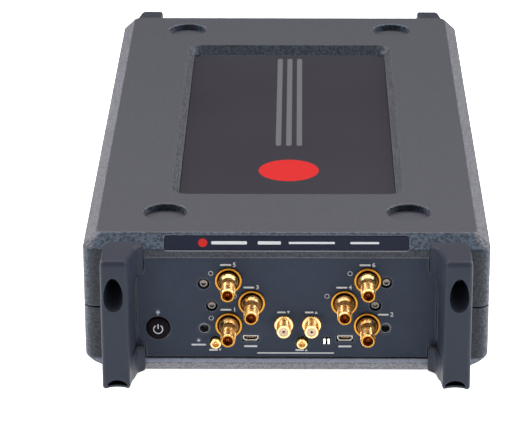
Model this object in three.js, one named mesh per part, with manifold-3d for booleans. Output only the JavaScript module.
// A compact vector network analyzer: a flat two-part case with moulded corner bumpers,
// all six test ports on the front panel, and the test set, boards and fan inside.
// Millimetres. +X is right, +Y runs from the front panel to the back, +Z is up.
// The origin is the middle of the footprint, on the surface that the feet stand on.

import * as THREE from 'three';
import Module from 'manifold-3d';
import { mergeVertices } from 'three/addons/utils/BufferGeometryUtils.js';

const wasm = await Module();
wasm.setup();

// ---------------------------------------------------------------- driving dimensions

const CASE_WIDTH = 178;
const CASE_LENGTH = 316;
const CASE_HEIGHT = 66;
const FOOT_HEIGHT = 4.5;
const FRONT_BUMPER_REACH = 21;
const REAR_BUMPER_REACH = 18;
const GAP = 0.3;

const TOTAL_LENGTH = CASE_LENGTH + FRONT_BUMPER_REACH + REAR_BUMPER_REACH;
const HALF_WIDTH = CASE_WIDTH / 2;
const FRONT = -TOTAL_LENGTH / 2 + FRONT_BUMPER_REACH;
const REAR = FRONT + CASE_LENGTH;
const BOTTOM = FOOT_HEIGHT;
const TOP = BOTTOM + CASE_HEIGHT;

// case halves
const WALL = 3;
const BEZEL = 6;
const REAR_BEZEL = 3.5;
const CORNER_RADIUS = 5;
const BELLY_WIDTH = 9.5;
const BELLY_HEIGHT = 8.5;
const PARTING_DROP = 33;
const PARTING_GAP = 0.8;

// recess in the lid, with its inlay plate
const RECESS_HALF_WIDTH = 52.5;
const RECESS_FRONT = FRONT + 51.5;
const RECESS_REAR = FRONT + 265.6;
const RECESS_DEPTH = 5;
const RECESS_SLOPE = 2.6;
const RECESS_RADIUS = 8;
const PLATE_THICKNESS = 1.3;
const PLATE_RADIUS = 3;

// stacking dimples in the lid, over the feet
const DIMPLE_X = 54;
const DIMPLE_FRONT = FRONT + 30;
const DIMPLE_REAR = FRONT + 291.8;
const DIMPLE_RADIUS = 9.7;
const DIMPLE_DEPTH = 3.5;
const FOOT_RADIUS = 8.8;

// strip let into the slanted bezel
const STRIP_WIDTH = 106.2;
const STRIP_HEIGHT = 6.5;
const STRIP_THICKNESS = 0.6;

// connector panels
const PANEL_SETBACK = 1;
const PANEL_THICKNESS = 2.2;
const PANEL_TOP = TOP - 9.6;
const PANEL_BOTTOM = TOP - 57.6;
const PANEL_HALF_WIDTH = 66;
const NOTCH_HALF_WIDTH = 62.3;
const UPPER_LUG_END = TOP - 17.3;
const LOWER_LUG_END = TOP - 50.7;
const FRONT_FACE = FRONT + PANEL_SETBACK;
const REAR_FACE = REAR - PANEL_SETBACK;

// bumpers
const BUMPER_TOP = TOP - 3;
const BUMPER_BOTTOM = TOP - 63.3;
const BORE_TILT = THREE.MathUtils.degToRad(59);
const BORE_X = 74.4;
const BORE_DROP = 18.4;
const BORE_RADIUS = 4.31;
const BORE_TAPER = 0.06;
const ARCH_X = 73.9;
const ARCH_RADIUS = 4.35;

// front panel layout: three staggered test ports at each side
const PORT_TOP_DROP = 20.6;
const PORT_ROW_PITCH = 10.65;
const PORT_STAGGER = 10.1;
const LEFT_PORTS_X = -25.4;
const RIGHT_PORTS_X = 35.4;
const LO_DROP = 41.6;
const REF_DROP = 50.1;
const CTRL_DROP = 48.4;
const BUTTON_X = -56.4;
const BUTTON_DROP = 43.5;
const BUTTON_RADIUS = 5.5;
const BUTTON_TRAVEL = 0.8;

// round parts: sides of a fine, a middling and a small turned piece
const FINE = 32;
const TURNED = 16;
const SMALL = 12;

// ---------------------------------------------------------------- geometry helpers

/** Welds a geometry, drops the empty triangles at its poles and turns its faces outwards. */
function weld(geometry) {
  const bare = geometry.clone();
  bare.deleteAttribute('normal');
  bare.deleteAttribute('uv');
  const welded = mergeVertices(bare, 1e-4);
  const old = welded.index.array;
  const kept = [];
  for (let i = 0; i < old.length; i += 3) {
    const [a, b, c] = [old[i], old[i + 1], old[i + 2]];
    if (a !== b && b !== c && c !== a) kept.push(a, b, c);
  }
  if (signedVolume(welded.attributes.position, kept) < 0) kept.reverse();
  welded.setIndex(kept);
  return welded;
}

function signedVolume(position, index) {
  const corner = [new THREE.Vector3(), new THREE.Vector3(), new THREE.Vector3()];
  let sum = 0;
  for (let i = 0; i < index.length; i += 3) {
    corner.forEach((point, k) => point.fromBufferAttribute(position, index[i + k]));
    sum += corner[0].dot(corner[1].cross(corner[2])) / 6;
  }
  return sum;
}

/** A geometry as a solid that can be cut and joined. */
function solid(geometry) {
  const welded = weld(geometry);
  return new wasm.Manifold(new wasm.Mesh({
    numProp: 3,
    vertProperties: new Float32Array(welded.attributes.position.array),
    triVerts: new Uint32Array(welded.index.array),
  }));
}

/** A cut and joined solid as a geometry again. */
function surface(manifold) {
  const mesh = manifold.getMesh();
  const geometry = new THREE.BufferGeometry();
  geometry.setAttribute('position', new THREE.BufferAttribute(mesh.vertProperties, 3));
  geometry.setIndex(new THREE.BufferAttribute(mesh.triVerts, 1));
  return geometry;
}

function subtractAll(manifold, cutters) {
  return cutters.reduce((left, cutter) => left.subtract(cutter), manifold);
}

/** A solid through level outlines that all have the same number of points. */
function loft(levels) {
  const count = levels[0].outline.length;
  const positions = levels.flatMap(({ z, outline }) => outline.flatMap((p) => [p.x, p.y, z]));
  const lift = (levels.length - 1) * count;
  const index = [];
  for (const [a, b, c] of THREE.ShapeUtils.triangulateShape(levels[0].outline, [])) {
    index.push(c, b, a, a + lift, b + lift, c + lift);
  }
  for (let i = 0; i < lift; i += 1) {
    const next = i - (i % count) + ((i + 1) % count);
    index.push(i, next, next + count, i, next + count, i + count);
  }
  const geometry = new THREE.BufferGeometry();
  geometry.setAttribute('position', new THREE.Float32BufferAttribute(positions, 3));
  geometry.setIndex(index);
  return geometry;
}

/** A rectangle with round corners, as points that run anticlockwise. */
function roundedOutline(x0, x1, y0, y1, radius, steps = 5) {
  const centres = [[x1 - radius, y1 - radius], [x0 + radius, y1 - radius],
    [x0 + radius, y0 + radius], [x1 - radius, y0 + radius]];
  return centres.flatMap(([cx, cy], quarter) => Array.from({ length: steps + 1 }, (_, i) => {
    const angle = (quarter + i / steps) * Math.PI / 2;
    return new THREE.Vector2(cx + radius * Math.cos(angle), cy + radius * Math.sin(angle));
  }));
}

function shapeOf(pairs) {
  return new THREE.Shape(pairs.map(([x, y]) => new THREE.Vector2(x, y)));
}

function roundedShape(x0, x1, y0, y1, radius, steps) {
  return new THREE.Shape(roundedOutline(x0, x1, y0, y1, radius, steps));
}

/** A shape drawn from above, standing from z0 to z1. */
function upright(shape, z0, z1) {
  const geometry = new THREE.ExtrudeGeometry(shape, { depth: z1 - z0, bevelEnabled: false });
  return geometry.translate(0, 0, z0);
}

/** A shape drawn as seen from the front (x, z), reaching back from y0 to y1. */
function lying(shape, y0, y1) {
  const geometry = new THREE.ExtrudeGeometry(shape, { depth: y1 - y0, bevelEnabled: false });
  return geometry.rotateX(Math.PI / 2).translate(0, y1, 0);
}

function block(x0, x1, y0, y1, z0, z1) {
  const geometry = new THREE.BoxGeometry(x1 - x0, y1 - y0, z1 - z0);
  return geometry.translate((x0 + x1) / 2, (y0 + y1) / 2, (z0 + z1) / 2);
}

/** A round bar along Y. */
function barY(x, z, radius, y0, y1, sides = TURNED) {
  const geometry = new THREE.CylinderGeometry(radius, radius, y1 - y0, sides);
  return geometry.translate(x, (y0 + y1) / 2, z);
}

/** A round bar along Z. */
function barZ(x, y, radius, z0, z1, sides = FINE) {
  const geometry = new THREE.CylinderGeometry(radius, radius, z1 - z0, sides);
  return geometry.rotateX(Math.PI / 2).translate(x, y, (z0 + z1) / 2);
}

/** A piece turned about Y. Each pair is a radius and a distance out of the front panel's face. */
function turned(x, z, pairs, sides = TURNED) {
  const profile = pairs.map(([radius, out]) => new THREE.Vector2(radius, -out));
  return new THREE.LatheGeometry(profile, sides).translate(x, FRONT_FACE, z);
}

/** The same, standing out of the rear panel. */
function turnedRear(x, z, pairs, sides = TURNED) {
  const profile = pairs.map(([radius, out]) => new THREE.Vector2(radius, out));
  return new THREE.LatheGeometry(profile, sides).translate(x, REAR_FACE, z);
}

function mirroredX(geometry) {
  return geometry.clone().scale(-1, 1, 1);
}

// ---------------------------------------------------------------- materials

function finish(color, roughness, metalness = 0) {
  return () => new THREE.MeshStandardMaterial({ color, roughness, metalness });
}

const shellPlastic = finish(0x5b5d64, 0.75);
const bumperPlastic = finish(0x434b57, 0.6);
const platePlastic = finish(0x3f3e46, 0.35);
const stripFilm = finish(0x30343f, 0.35);
const panelPaint = finish(0x484d59, 0.6);
const gold = finish(0xd9a441, 0.25, 1);
const contactGold = finish(0x9a5a26, 0.35, 1);
const insulator = finish(0xe8dcd4, 0.5);
const steel = finish(0xa8a8a6, 0.35, 1);
const tinPlate = finish(0xc4c4c2, 0.3, 1);
const aluminium = finish(0xb4b7ba, 0.4, 1);
const blackPlastic = finish(0x1d1b1d, 0.4);
const rubber = finish(0x1b1b1c, 0.9);
const lightPipe = finish(0xd8dde0, 0.2);
const circuitBoard = finish(0x1f5a3a, 0.5);

// ---------------------------------------------------------------- case

/** The case's outer skin, grown or (below zero) shrunk on every side. */
function caseBody(grow) {
  const level = (z, sideInset, frontInset, rearInset, radius) => ({
    z,
    outline: roundedOutline(-HALF_WIDTH + sideInset - grow, HALF_WIDTH - sideInset + grow,
      FRONT + frontInset - grow, REAR - rearInset + grow, radius),
  });
  const waistInset = BELLY_WIDTH * (BELLY_HEIGHT - BEZEL) / BELLY_HEIGHT;
  return solid(loft([
    level(BOTTOM - grow, BELLY_WIDTH, BEZEL, BEZEL, CORNER_RADIUS - 1),
    level(BOTTOM + BEZEL, waistInset, 0, 0, CORNER_RADIUS),
    level(BOTTOM + BELLY_HEIGHT, 0, 0, 0, CORNER_RADIUS),
    level(TOP - BEZEL, 0, 0, 0, CORNER_RADIUS),
    level(TOP + grow, BEZEL, BEZEL, REAR_BEZEL, CORNER_RADIUS - 2),
  ]));
}

function recessCutter() {
  const flare = RECESS_SLOPE / RECESS_DEPTH;
  const level = (z, inset, radius) => ({
    z,
    outline: roundedOutline(-RECESS_HALF_WIDTH + inset, RECESS_HALF_WIDTH - inset,
      RECESS_FRONT + inset, RECESS_REAR - inset, radius),
  });
  return solid(loft([
    level(TOP - RECESS_DEPTH, RECESS_SLOPE, RECESS_RADIUS - RECESS_SLOPE),
    level(TOP + 1, -flare, RECESS_RADIUS + flare),
  ]));
}

/** The inlay plate's outline, drawn in from the recess floor's edge. */
function plateShape(inset) {
  const edge = RECESS_SLOPE + inset;
  return roundedShape(-RECESS_HALF_WIDTH + edge, RECESS_HALF_WIDTH - edge,
    RECESS_FRONT + edge, RECESS_REAR - edge, PLATE_RADIUS);
}

function platePocket() {
  const floor = TOP - RECESS_DEPTH - PLATE_THICKNESS - GAP;
  return solid(upright(plateShape(GAP), floor, TOP - RECESS_DEPTH + 1));
}

/** The strip or its pocket: a flat bar in the plane of the slanted bezel. */
function stripBar(grow, top, bottom) {
  const bar = block(-STRIP_WIDTH / 2 - grow, STRIP_WIDTH / 2 + grow,
    -STRIP_HEIGHT / 2 - grow, STRIP_HEIGHT / 2 + grow, bottom, top);
  const middle = BEZEL / 2;
  const slip = 0.6;
  return bar.rotateX(Math.PI / 4).translate(0, FRONT + middle - slip, TOP - middle - slip);
}

function dimpleCutters() {
  const cutters = [];
  for (const x of [-DIMPLE_X, DIMPLE_X]) {
    for (const y of [DIMPLE_FRONT, DIMPLE_REAR]) {
      cutters.push(solid(barZ(x, y, DIMPLE_RADIUS, TOP - DIMPLE_DEPTH, TOP + 1)));
    }
  }
  return cutters;
}

/** A panel's outline as seen from the front, notched where the bumper lugs stand. */
function panelShape(inset) {
  const wide = PANEL_HALF_WIDTH - inset;
  const slim = NOTCH_HALF_WIDTH - inset;
  const [top, bottom] = [PANEL_TOP - inset, PANEL_BOTTOM + inset];
  const [upper, lower] = [UPPER_LUG_END - inset, LOWER_LUG_END + inset];
  const right = [[slim, bottom], [slim, lower], [wide, lower], [wide, upper], [slim, upper], [slim, top]];
  const left = right.map(([x, z]) => [-x, z]).reverse();
  return shapeOf([...right, ...left]);
}

/** Solid roof under the recess and dimples, which the hollow of the lid stays clear of. */
function roofPads() {
  const depth = RECESS_DEPTH + PLATE_THICKNESS + WALL;
  const recessPad = solid(block(-RECESS_HALF_WIDTH - WALL, RECESS_HALF_WIDTH + WALL,
    RECESS_FRONT - WALL, RECESS_REAR + WALL, TOP - depth, TOP));
  const pads = [recessPad];
  for (const x of [-DIMPLE_X, DIMPLE_X]) {
    for (const y of [DIMPLE_FRONT, DIMPLE_REAR]) {
      pads.push(solid(barZ(x, y, DIMPLE_RADIUS + WALL, TOP - DIMPLE_DEPTH - WALL, TOP, TURNED)));
    }
  }
  return pads;
}

/** Both case halves, before they are parted. */
function hollowCase() {
  const hollow = subtractAll(caseBody(-WALL), roofPads());
  const windows = [
    solid(lying(panelShape(0), FRONT - 1, FRONT + WALL + 1)),
    solid(lying(panelShape(0), REAR - WALL - 1, REAR + 1)),
  ];
  return subtractAll(caseBody(0), [hollow, ...windows]);
}

function half(whole, z0, z1) {
  return whole.intersect(solid(block(-CASE_WIDTH, CASE_WIDTH, -TOTAL_LENGTH, TOTAL_LENGTH, z0, z1)));
}

function topShell(whole) {
  const upper = half(whole, TOP - PARTING_DROP + PARTING_GAP / 2, TOP + 1);
  const stripPocket = solid(stripBar(GAP, 2, -STRIP_THICKNESS - GAP));
  return surface(subtractAll(upper, [recessCutter(), platePocket(), stripPocket, ...dimpleCutters()]));
}

function bottomShell(whole) {
  return surface(half(whole, 0, TOP - PARTING_DROP - PARTING_GAP / 2));
}

function topPlate() {
  const top = TOP - RECESS_DEPTH;
  return upright(plateShape(2 * GAP), top - PLATE_THICKNESS, top);
}

function foot(x, y) {
  const recess = 1;
  const profile = [[0, recess], [2.5, recess], [3, 0], [FOOT_RADIUS - 0.8, 0], [FOOT_RADIUS, 1],
    [FOOT_RADIUS, BOTTOM - GAP], [0, BOTTOM - GAP]];
  const points = profile.map(([radius, z]) => new THREE.Vector2(radius, z));
  return new THREE.LatheGeometry(points, 24).rotateX(Math.PI / 2).translate(x, y, 0);
}

// ---------------------------------------------------------------- bumpers

/** A right-hand bumper. Profiles are (x, distance out of the case); side is -1 front, 1 rear. */
function bumper(barProfile, lugProfile, reach, side, face) {
  const placed = (profile) => shapeOf(profile.map(([x, out]) => [x, face + side * out]));
  const bar = solid(upright(placed(barProfile), BUMPER_BOTTOM, BUMPER_TOP));
  const upperLug = solid(upright(placed(lugProfile), UPPER_LUG_END, BUMPER_TOP));
  const lowerLug = solid(upright(placed(lugProfile), BUMPER_BOTTOM, LOWER_LUG_END));
  const whole = bar.add(upperLug).add(lowerLug);
  const cutters = [caseBody(GAP), slantedBore(reach, side, face), arch(reach, side, face)];
  return surface(subtractAll(whole, cutters));
}

/** A tapered blind bore that runs up and inwards from the bumper's end face. */
function slantedBore(reach, side, face) {
  const [start, end] = [-12, 11];
  const radiusAt = (along) => BORE_RADIUS - BORE_TAPER * along;
  const bore = new THREE.CylinderGeometry(radiusAt(end), radiusAt(start), end - start, 20);
  bore.translate(0, (start + end) / 2, 0).rotateX(BORE_TILT);
  if (side > 0) bore.scale(1, -1, 1);
  return solid(bore.translate(BORE_X, face + side * reach, TOP - BORE_DROP));
}

/** The arch under the bumper's end. */
function arch(reach, side, face) {
  const depth = 12;
  const ends = [face + side * (reach - depth), face + side * (reach + 1)].sort((a, b) => a - b);
  return solid(barY(ARCH_X, BUMPER_BOTTOM - 0.6, ARCH_RADIUS, ends[0], ends[1], 20));
}

const FRONT_BAR = [[66.3, -3], [66.3, 1], [67, 8], [67.6, 16], [68.4, 19.4], [70.2, FRONT_BUMPER_REACH],
  [78.6, FRONT_BUMPER_REACH], [79.6, 20], [80, 18], [80, 3], [79, -0.6], [76.9, -3]];
const FRONT_LUG = [[69, -3], [69, 19], [67.2, 17], [66.3, 12], [65.6, 6], [64, 3.2],
  [NOTCH_HALF_WIDTH, 1.6], [NOTCH_HALF_WIDTH, -3]];
const REAR_BAR = [[66.3, -3], [66.3, 1.2], [68.9, 2.2], [68.9, 16.8], [70.1, REAR_BUMPER_REACH],
  [79.6, REAR_BUMPER_REACH], [80.7, 17], [82, 9], [83.4, 1], [82.4, -1.6], [80.4, -3]];
const REAR_LUG = [[69, -3], [69, 1.2], [NOTCH_HALF_WIDTH, 1.2], [NOTCH_HALF_WIDTH, -3]];

// ---------------------------------------------------------------- front panel

/** The six test ports: number, x and drop below the lid. Odd ones are left, even ones right. */
function portPlaces() {
  return [0, 1, 2].flatMap((row) => {
    const drop = PORT_TOP_DROP + row * PORT_ROW_PITCH;
    const shift = row === 1 ? PORT_STAGGER : 0;
    return [
      { number: 5 - 2 * row, x: LEFT_PORTS_X + shift, z: TOP - drop },
      { number: 6 - 2 * row, x: RIGHT_PORTS_X - shift, z: TOP - drop },
    ];
  });
}

const PORTS = portPlaces();
const LO_JACKS = [{ name: 'lo_in', x: -1.2 }, { name: 'lo_out', x: 11 }];
const REF_JACKS = [{ name: 'ref_in', x: -31.2 }, { name: 'ref_out', x: 6.8 }];
const CTRL_JACKS = [{ name: 'ctrl_s', x: -15.8 }, { name: 'ctrl_m', x: 25.7 }];
const SCREWS = [{ x: -36.3, drop: 22.5 }, { x: -32.8, drop: 33 }, { x: 43.6, drop: 21.9 },
  { x: 38.9, drop: 32.8 }];
const POSTS = [{ name: 'jack_post_left', x: -36.2, drop: 43.9 },
  { name: 'jack_post_right', x: 43.5, drop: 43.7 }];
const PINS = [{ name: 'sync_pin_left', x: 16.7 }, { name: 'sync_pin_right', x: 18.5 }];
const PIN_DROP = 49.5;
const LIGHTS = [{ name: 'power_light_pipe', x: -56.5, drop: 36, radius: 0.85 },
  { name: 'status_light_pipe', x: -38.7, drop: 49.4, radius: 0.75 }];
const SCREW_RADIUS = 2.4;
const CTRL_CUTOUT = { halfWidth: 3.85, halfHeight: 1.55 };

function frontPanelHoles() {
  const hole = (x, z, radius, sides = TURNED) => solid(
    barY(x, z, radius, FRONT_FACE - 1, FRONT_FACE + PANEL_THICKNESS + 1, sides));
  const slot = (x, z, halfWidth, halfHeight) => solid(block(x - halfWidth, x + halfWidth,
    FRONT_FACE - 1, FRONT_FACE + PANEL_THICKNESS + 1, z - halfHeight, z + halfHeight));
  return [
    ...PORTS.map(({ x, z }) => hole(x, z, 4.8)),
    ...LO_JACKS.map(({ x }) => hole(x, TOP - LO_DROP, 3.95)),
    ...REF_JACKS.map(({ x }) => hole(x, TOP - REF_DROP, 2.75)),
    ...CTRL_JACKS.map(({ x }) => slot(x, TOP - CTRL_DROP, CTRL_CUTOUT.halfWidth, CTRL_CUTOUT.halfHeight)),
    ...SCREWS.map(({ x, drop }) => hole(x, TOP - drop, SCREW_RADIUS + GAP)),
    ...POSTS.map(({ x, drop }) => hole(x, TOP - drop, SCREW_RADIUS + GAP)),
    ...LIGHTS.map(({ x, drop, radius }) => hole(x, TOP - drop, radius + GAP, SMALL)),
    slot((PINS[0].x + PINS[1].x) / 2, TOP - PIN_DROP, 1.8, 1.8),
    hole(BUTTON_X, TOP - BUTTON_DROP, BUTTON_RADIUS + GAP, FINE),
  ];
}

function frontPanel() {
  const plate = solid(lying(panelShape(GAP), FRONT_FACE, FRONT_FACE + PANEL_THICKNESS));
  return surface(subtractAll(plate, frontPanelHoles()));
}

/** A test port: ring, groove, stepped cone, neck and threaded nose with its open bore. */
function portConnector({ x, z }) {
  return turned(x, z, [[0, -7], [3.6, -7], [3.6, GAP], [5.85, GAP], [5.85, 1.3], [5, 1.3], [5, 0.7],
    [4.3, 0.7], [4.3, 1.9], [3.8, 2.6], [3.7, 3.6], [2.9, 5.6], [2.9, 8.4], [3.15, 8.8],
    [3.15, 17.2], [2.8, 17.8], [2.25, 17.8], [2.25, 6.5], [0, 6.5]]);
}

function portContact({ x, z }) {
  return turned(x, z, [[0, 6.8], [1.95, 6.8], [1.95, 8.6], [0.75, 8.6], [0.75, 16.2], [0.45, 16.6],
    [0, 16.6]], SMALL);
}

function loConnector(x) {
  return turned(x, TOP - LO_DROP, [[0, -6], [3.6, -6], [3.6, GAP], [4.15, GAP], [4.15, 1.3],
    [3.17, 1.5], [3.17, 8.5], [2.85, 8.9], [2.05, 8.9], [2.05, 4.5], [0, 4.5]]);
}

function loInsulator(x) {
  return turned(x, TOP - LO_DROP, [[0, 4.8], [1.75, 4.8], [1.75, 8.6], [0.6, 8.6], [0.6, 6], [0, 6]], SMALL);
}

function refConnector(x) {
  return turned(x, TOP - REF_DROP, [[0, -6], [2.4, -6], [2.4, 2.5], [2.1, 2.8], [1.6, 2.8], [1.6, 0.4],
    [0.45, 0.4], [0.45, 2.2], [0, 2.2]], SMALL);
}

/** A control bus socket: a folded metal shell, wide side up, with a tongue in its mouth. */
function ctrlReceptacle(x) {
  const z = TOP - CTRL_DROP;
  const outline = (inset) => {
    const [wide, narrow, high] = [3.35 - inset, 2.6 - inset, 1.17 - inset];
    return shapeOf([[x - narrow, z - high], [x + narrow, z - high], [x + wide, z - 0.3],
      [x + wide, z + high], [x - wide, z + high], [x - wide, z - 0.3]]);
  };
  const [mouth, floor, back] = [FRONT_FACE + 0.3, FRONT_FACE + 4.5, FRONT_FACE + 5.2];
  const shell = solid(lying(outline(0), mouth, back));
  const hollow = solid(lying(outline(0.3), mouth - 1, floor));
  const tongue = solid(block(x - 1.9, x + 1.9, mouth + 0.6, floor + 0.3, z + 0.05, z + 0.5));
  return surface(shell.subtract(hollow).add(tongue));
}

function syncPin(x) {
  const [halfWidth, halfHeight] = [0.5, 1.35];
  const [z, tip, tail] = [TOP - PIN_DROP, FRONT_FACE - 0.8, FRONT_FACE + 5];
  return block(x - halfWidth, x + halfWidth, tip, tail, z - halfHeight, z + halfHeight);
}

/** The power button: convex cap, retaining flange behind the panel, and stem. */
function powerButton() {
  const flange = -PANEL_THICKNESS - GAP;
  return turned(BUTTON_X, TOP - BUTTON_DROP, [[0, -6.5], [2, -6.5], [2, flange - 1], [6.6, flange - 1],
    [6.6, flange], [BUTTON_RADIUS, flange], [BUTTON_RADIUS, 0.7], [5, 1.2], [3.2, 1.6], [0, 1.8]], 24);
}

function lightPipeRod({ x, drop, radius }) {
  return turned(x, TOP - drop, [[0, -6], [radius, -6], [radius, 0.1], [radius * 0.6, 0.25], [0, 0.3]], SMALL);
}

function panelScrew({ x, drop }) {
  const body = solid(turned(x, TOP - drop, [[0, -6.5], [1.3, -6.5], [1.3, -1.7], [SCREW_RADIUS, -1.7],
    [SCREW_RADIUS, -0.2], [1.7, 0.4], [0, 0.5]]));
  return surface(body.subtract(solid(barY(x, TOP - drop, 1.1, FRONT_FACE - 1, FRONT_FACE + 0.9, 6))));
}

function jackPost({ x, drop }) {
  return turned(x, TOP - drop, [[0, -6.5], [SCREW_RADIUS, -6.5], [SCREW_RADIUS, -0.4], [2.1, -0.1],
    [1.6, -0.1], [1.6, -5], [0, -5]]);
}

// ---------------------------------------------------------------- rear panel

const FAN_X = 38;
const FAN_Z = BOTTOM + 31;
const FAN_HALF = 20;
const FAN_DEPTH = 10;
const FAN_BORE = 18.6;
const FAN_BACK = REAR_FACE - PANEL_THICKNESS - GAP;
const FAN_FRONT = FAN_BACK - FAN_DEPTH;
const USB_X = -46;
const INLET_X = -22;
const STUD_X = -2;
const SOCKET_Z = BOTTOM + 20;

function ventSlots(x, z, halfWidth, halfSlot, pitch, count) {
  return Array.from({ length: count }, (_, i) => {
    const middle = z + (i - (count - 1) / 2) * pitch;
    return solid(block(x - halfWidth, x + halfWidth, REAR_FACE - PANEL_THICKNESS - 1, REAR_FACE + 1,
      middle - halfSlot, middle + halfSlot));
  });
}

function rearPanel() {
  const plate = solid(lying(panelShape(GAP), REAR_FACE - PANEL_THICKNESS, REAR_FACE));
  const through = (x, radius) => solid(
    barY(x, SOCKET_Z, radius, REAR_FACE - PANEL_THICKNESS - 1, REAR_FACE + 1));
  const usbWindow = solid(lying(usbShape(GAP), REAR_FACE - PANEL_THICKNESS - 1, REAR_FACE + 1));
  return surface(subtractAll(plate, [
    usbWindow,
    through(INLET_X, 5.3),
    through(STUD_X, 2.4),
    ...ventSlots(FAN_X, FAN_Z, 16, 1, 4.2, 8),
    ...ventSlots(-32, BOTTOM + 42, 24, 1, 4.2, 3),
  ]));
}

function usbShape(grow) {
  const [halfWidth, halfHeight] = [4.5 + grow, 1.65 + grow];
  return roundedShape(USB_X - halfWidth, USB_X + halfWidth, SOCKET_Z - halfHeight, SOCKET_Z + halfHeight,
    halfHeight, 4);
}

function usbReceptacle() {
  const [floor, mouth] = [REAR_FACE - 7, REAR_FACE + 0.2];
  const shell = solid(lying(usbShape(0), floor - 0.6, mouth));
  const hollow = solid(lying(usbShape(-GAP), floor, mouth + 1));
  const tongue = solid(
    block(USB_X - 3.2, USB_X + 3.2, floor - GAP, mouth - 1, SOCKET_Z - 0.35, SOCKET_Z + 0.35));
  return surface(shell.subtract(hollow).add(tongue));
}

function powerInlet() {
  return turnedRear(INLET_X, SOCKET_Z, [[0, -12], [5, -12], [5, GAP], [6.5, GAP], [6.5, 1.3], [3.2, 1.3],
    [3.2, -8], [1, -8], [1, 0], [0, 0]], 20);
}

function groundStud() {
  return turnedRear(STUD_X, SOCKET_Z, [[0, -5], [2, -5], [2, GAP], [4, GAP], [4, 2.4], [2, 2.4],
    [2, 9], [1.6, 9.5], [0, 9.5]]);
}

// ---------------------------------------------------------------- inside

const TRAY_FLOOR = BOTTOM + WALL + 0.5;
const TRAY_SHEET = 1.2;
const TRAY_HALF_WIDTH = 74;
const BOARD_BOTTOM = BOTTOM + 11;
const BOARD_THICKNESS = 1.6;
const BOARD_TOP = BOARD_BOTTOM + BOARD_THICKNESS;
const HOUSING_FRONT = FRONT_FACE + 7 + GAP;
const HOUSING_REAR = FRONT + 68;
const HOUSING_BOTTOM = BOTTOM + 13;
const HOUSING_TOP = BOTTOM + 51;
const SHIELD_FRONT = FRONT + 110;
const SHIELD_REAR = FRONT + 200;
const SHIELD_TOP = BOARD_TOP + 6;

function chassisTray() {
  const [low, high, out] = [TRAY_FLOOR, TRAY_FLOOR + 14, TRAY_HALF_WIDTH];
  const channel = shapeOf([[-out, low], [out, low], [out, high], [out - TRAY_SHEET, high],
    [out - TRAY_SHEET, low + TRAY_SHEET], [-out + TRAY_SHEET, low + TRAY_SHEET], [-out + TRAY_SHEET, high],
    [-out, high]]);
  return lying(channel, FRONT + 12, REAR - 16);
}

/** A board with four short legs that hold it above what is under it. */
function boardOnLegs(x0, x1, y0, y1, z, legBottom) {
  const inset = 5;
  const legs = [[x0 + inset, y0 + inset], [x1 - inset, y0 + inset], [x0 + inset, y1 - inset],
    [x1 - inset, y1 - inset]].map(([x, y]) => solid(barZ(x, y, 2.5, legBottom, z + 0.5, SMALL)));
  const board = solid(block(x0, x1, y0, y1, z, z + BOARD_THICKNESS));
  return surface(legs.reduce((joined, leg) => joined.add(leg), board));
}

function mainBoard() {
  return boardOnLegs(-68, 68, FRONT + 74, REAR - 26, BOARD_BOTTOM, TRAY_FLOOR + TRAY_SHEET + GAP);
}

function powerBoard() {
  return boardOnLegs(22, 66, REAR - 120, REAR - 40, BOARD_TOP + 14, BOARD_TOP + GAP);
}

/** The front board stands upright behind the power button. */
function frontBoard() {
  const y = FRONT_FACE + 11.5;
  return block(-70, -50, y, y + BOARD_THICKNESS, BOTTOM + 11, BOTTOM + 50);
}

function powerSwitch() {
  const [z, rest] = [TOP - BUTTON_DROP, FRONT_FACE + 6.5 + BUTTON_TRAVEL + 0.2];
  const can = solid(block(BUTTON_X - 3, BUTTON_X + 3, rest + 1, FRONT_FACE + 11.2, z - 3, z + 3));
  return surface(can.add(solid(barY(BUTTON_X, z, 1.6, rest, rest + 1.5, SMALL))));
}

/** Milled housing of the test set: a deep open box with two inner walls. */
function rfHousing() {
  const wall = 3;
  const [x0, x1] = [-48, 56];
  const bay = (x1 - x0 - 4 * wall) / 3;
  const pockets = [0, 1, 2].map((i) => {
    const start = x0 + wall + i * (bay + wall);
    return solid(block(start, start + bay, HOUSING_FRONT + wall, HOUSING_REAR - wall,
      HOUSING_BOTTOM + wall, HOUSING_TOP + 1));
  });
  return surface(subtractAll(
    solid(block(x0, x1, HOUSING_FRONT, HOUSING_REAR, HOUSING_BOTTOM, HOUSING_TOP)), pockets));
}

function rfCover() {
  return block(-48, 56, HOUSING_FRONT, HOUSING_REAR, HOUSING_TOP + GAP, HOUSING_TOP + GAP + 2);
}

/** A drawn can, open below. */
function boardShield() {
  const sheet = 0.5;
  const can = solid(block(-58, 8, SHIELD_FRONT, SHIELD_REAR, BOARD_TOP + GAP, SHIELD_TOP));
  return surface(can.subtract(solid(block(-58 + sheet, 8 - sheet, SHIELD_FRONT + sheet, SHIELD_REAR - sheet,
    BOARD_TOP, SHIELD_TOP - sheet))));
}

/** Fins stand on a base plate and run front to back. */
function heatSink() {
  const [x0, fins, pitch, finWidth] = [-56, 12, 5.6, 1.4];
  const [low, root, tip] = [SHIELD_TOP + GAP, SHIELD_TOP + 4, SHIELD_TOP + 20];
  const crest = Array.from({ length: fins }, (_, i) => {
    const start = x0 + i * pitch;
    return [[start, root], [start, tip], [start + finWidth, tip], [start + finWidth, root]];
  }).flat();
  const end = x0 + (fins - 1) * pitch + finWidth;
  return lying(shapeOf([...crest, [end, low], [x0, low]]), SHIELD_FRONT + 3, SHIELD_REAR - 3);
}

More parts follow.
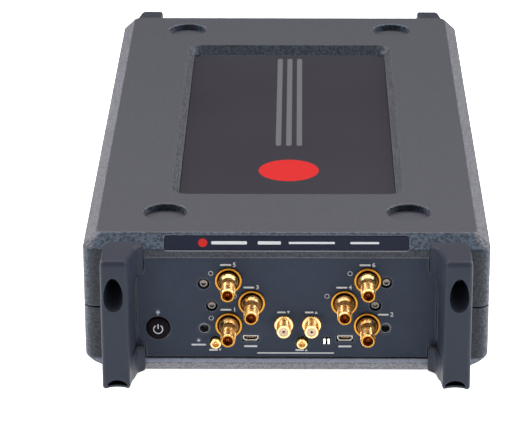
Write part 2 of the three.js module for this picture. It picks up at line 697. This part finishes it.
/** A square fan frame; three struts at its inner side carry the motor mount. */
function fanFrame() {
  const box = solid(block(FAN_X - FAN_HALF, FAN_X + FAN_HALF, FAN_FRONT, FAN_BACK,
    FAN_Z - FAN_HALF, FAN_Z + FAN_HALF));
  const throat = solid(barY(FAN_X, FAN_Z, FAN_BORE, FAN_FRONT - 1, FAN_BACK + 1, 24));
  const struts = [0, 1, 2].map((i) => {
    const strut = block(0, FAN_BORE + 0.6, 0, 1.6, -1, 1);
    return solid(strut.rotateY(i * 2 * Math.PI / 3).translate(FAN_X, FAN_FRONT, FAN_Z));
  });
  const mount = solid(barY(FAN_X, FAN_Z, 8, FAN_FRONT, FAN_FRONT + 1.6));
  return surface(struts.reduce((joined, strut) => joined.add(strut), box.subtract(throat).add(mount)));
}

/** The rotor: a hub with seven pitched blades, clear of the struts. */
function fanRotor() {
  const [blades, hubRadius, tipRadius] = [7, 8.5, 17.6];
  const [low, high] = [FAN_FRONT + 2.2, FAN_BACK - 0.6];
  const hub = solid(barY(0, 0, hubRadius, low, high, 21));
  const wheel = Array.from({ length: blades }, (_, i) => {
    const blade = new THREE.BoxGeometry(tipRadius - hubRadius + 2, 6, 0.9);
    blade.rotateX(Math.PI / 5).translate((tipRadius + hubRadius - 2) / 2, (low + high) / 2, 0);
    return solid(blade.rotateY(i * 2 * Math.PI / blades));
  }).reduce((joined, blade) => joined.add(blade), hub);
  return surface(wheel).translate(FAN_X, 0, FAN_Z);
}

// ---------------------------------------------------------------- assembly

const analyzer = new THREE.Group();

function place(name, geometry, material) {
  const mesh = new THREE.Mesh(weld(geometry), material());
  mesh.name = name;
  analyzer.add(mesh);
}

function placeCase() {
  const whole = hollowCase();
  place('top_shell', topShell(whole), shellPlastic);
  place('bottom_shell', bottomShell(whole), shellPlastic);
  place('top_plate', topPlate(), platePlastic);
  place('label_strip', stripBar(0, -0.1, -STRIP_THICKNESS), stripFilm);
  const feet = { front: DIMPLE_FRONT, rear: DIMPLE_REAR };
  for (const [end, y] of Object.entries(feet)) {
    place(`foot_${end}_left`, foot(-DIMPLE_X, y), rubber);
    place(`foot_${end}_right`, foot(DIMPLE_X, y), rubber);
  }
}

function placeBumpers() {
  const front = bumper(FRONT_BAR, FRONT_LUG, FRONT_BUMPER_REACH, -1, FRONT);
  const rear = bumper(REAR_BAR, REAR_LUG, REAR_BUMPER_REACH, 1, REAR);
  place('front_bumper_right', front, bumperPlastic);
  place('front_bumper_left', mirroredX(front), bumperPlastic);
  place('rear_bumper_right', rear, bumperPlastic);
  place('rear_bumper_left', mirroredX(rear), bumperPlastic);
}

function placeFrontPanel() {
  place('front_panel', frontPanel(), panelPaint);
  for (const port of PORTS) {
    place(`port_${port.number}_connector`, portConnector(port), gold);
    place(`port_${port.number}_contact`, portContact(port), contactGold);
  }
  for (const { name, x } of LO_JACKS) {
    place(`${name}_connector`, loConnector(x), gold);
    place(`${name}_insulator`, loInsulator(x), insulator);
  }
  for (const { name, x } of REF_JACKS) place(`${name}_connector`, refConnector(x), gold);
  for (const { name, x } of CTRL_JACKS) place(`${name}_receptacle`, ctrlReceptacle(x), tinPlate);
  for (const { name, x } of PINS) place(name, syncPin(x), tinPlate);
  for (const light of LIGHTS) place(light.name, lightPipeRod(light), lightPipe);
  for (const post of POSTS) place(post.name, jackPost(post), steel);
  SCREWS.forEach((screw, i) => place(`panel_screw_${i + 1}`, panelScrew(screw), steel));
  place('power_button', powerButton(), blackPlastic);
}

function placeRearPanel() {
  place('rear_panel', rearPanel(), panelPaint);
  place('usb_receptacle', usbReceptacle(), tinPlate);
  place('power_inlet', powerInlet(), blackPlastic);
  place('ground_stud', groundStud(), tinPlate);
}

function placeInside() {
  place('chassis_tray', chassisTray(), steel);
  place('main_board', mainBoard(), circuitBoard);
  place('front_board', frontBoard(), circuitBoard);
  place('power_board', powerBoard(), circuitBoard);
  place('power_switch', powerSwitch(), blackPlastic);
  place('rf_housing', rfHousing(), aluminium);
  place('rf_cover', rfCover(), aluminium);
  place('board_shield', boardShield(), tinPlate);
  place('heat_sink', heatSink(), aluminium);
  place('fan_frame', fanFrame(), blackPlastic);
  place('fan_rotor', fanRotor(), blackPlastic);
}

placeCase();
placeBumpers();
placeFrontPanel();
placeRearPanel();
placeInside();

export default analyzer;
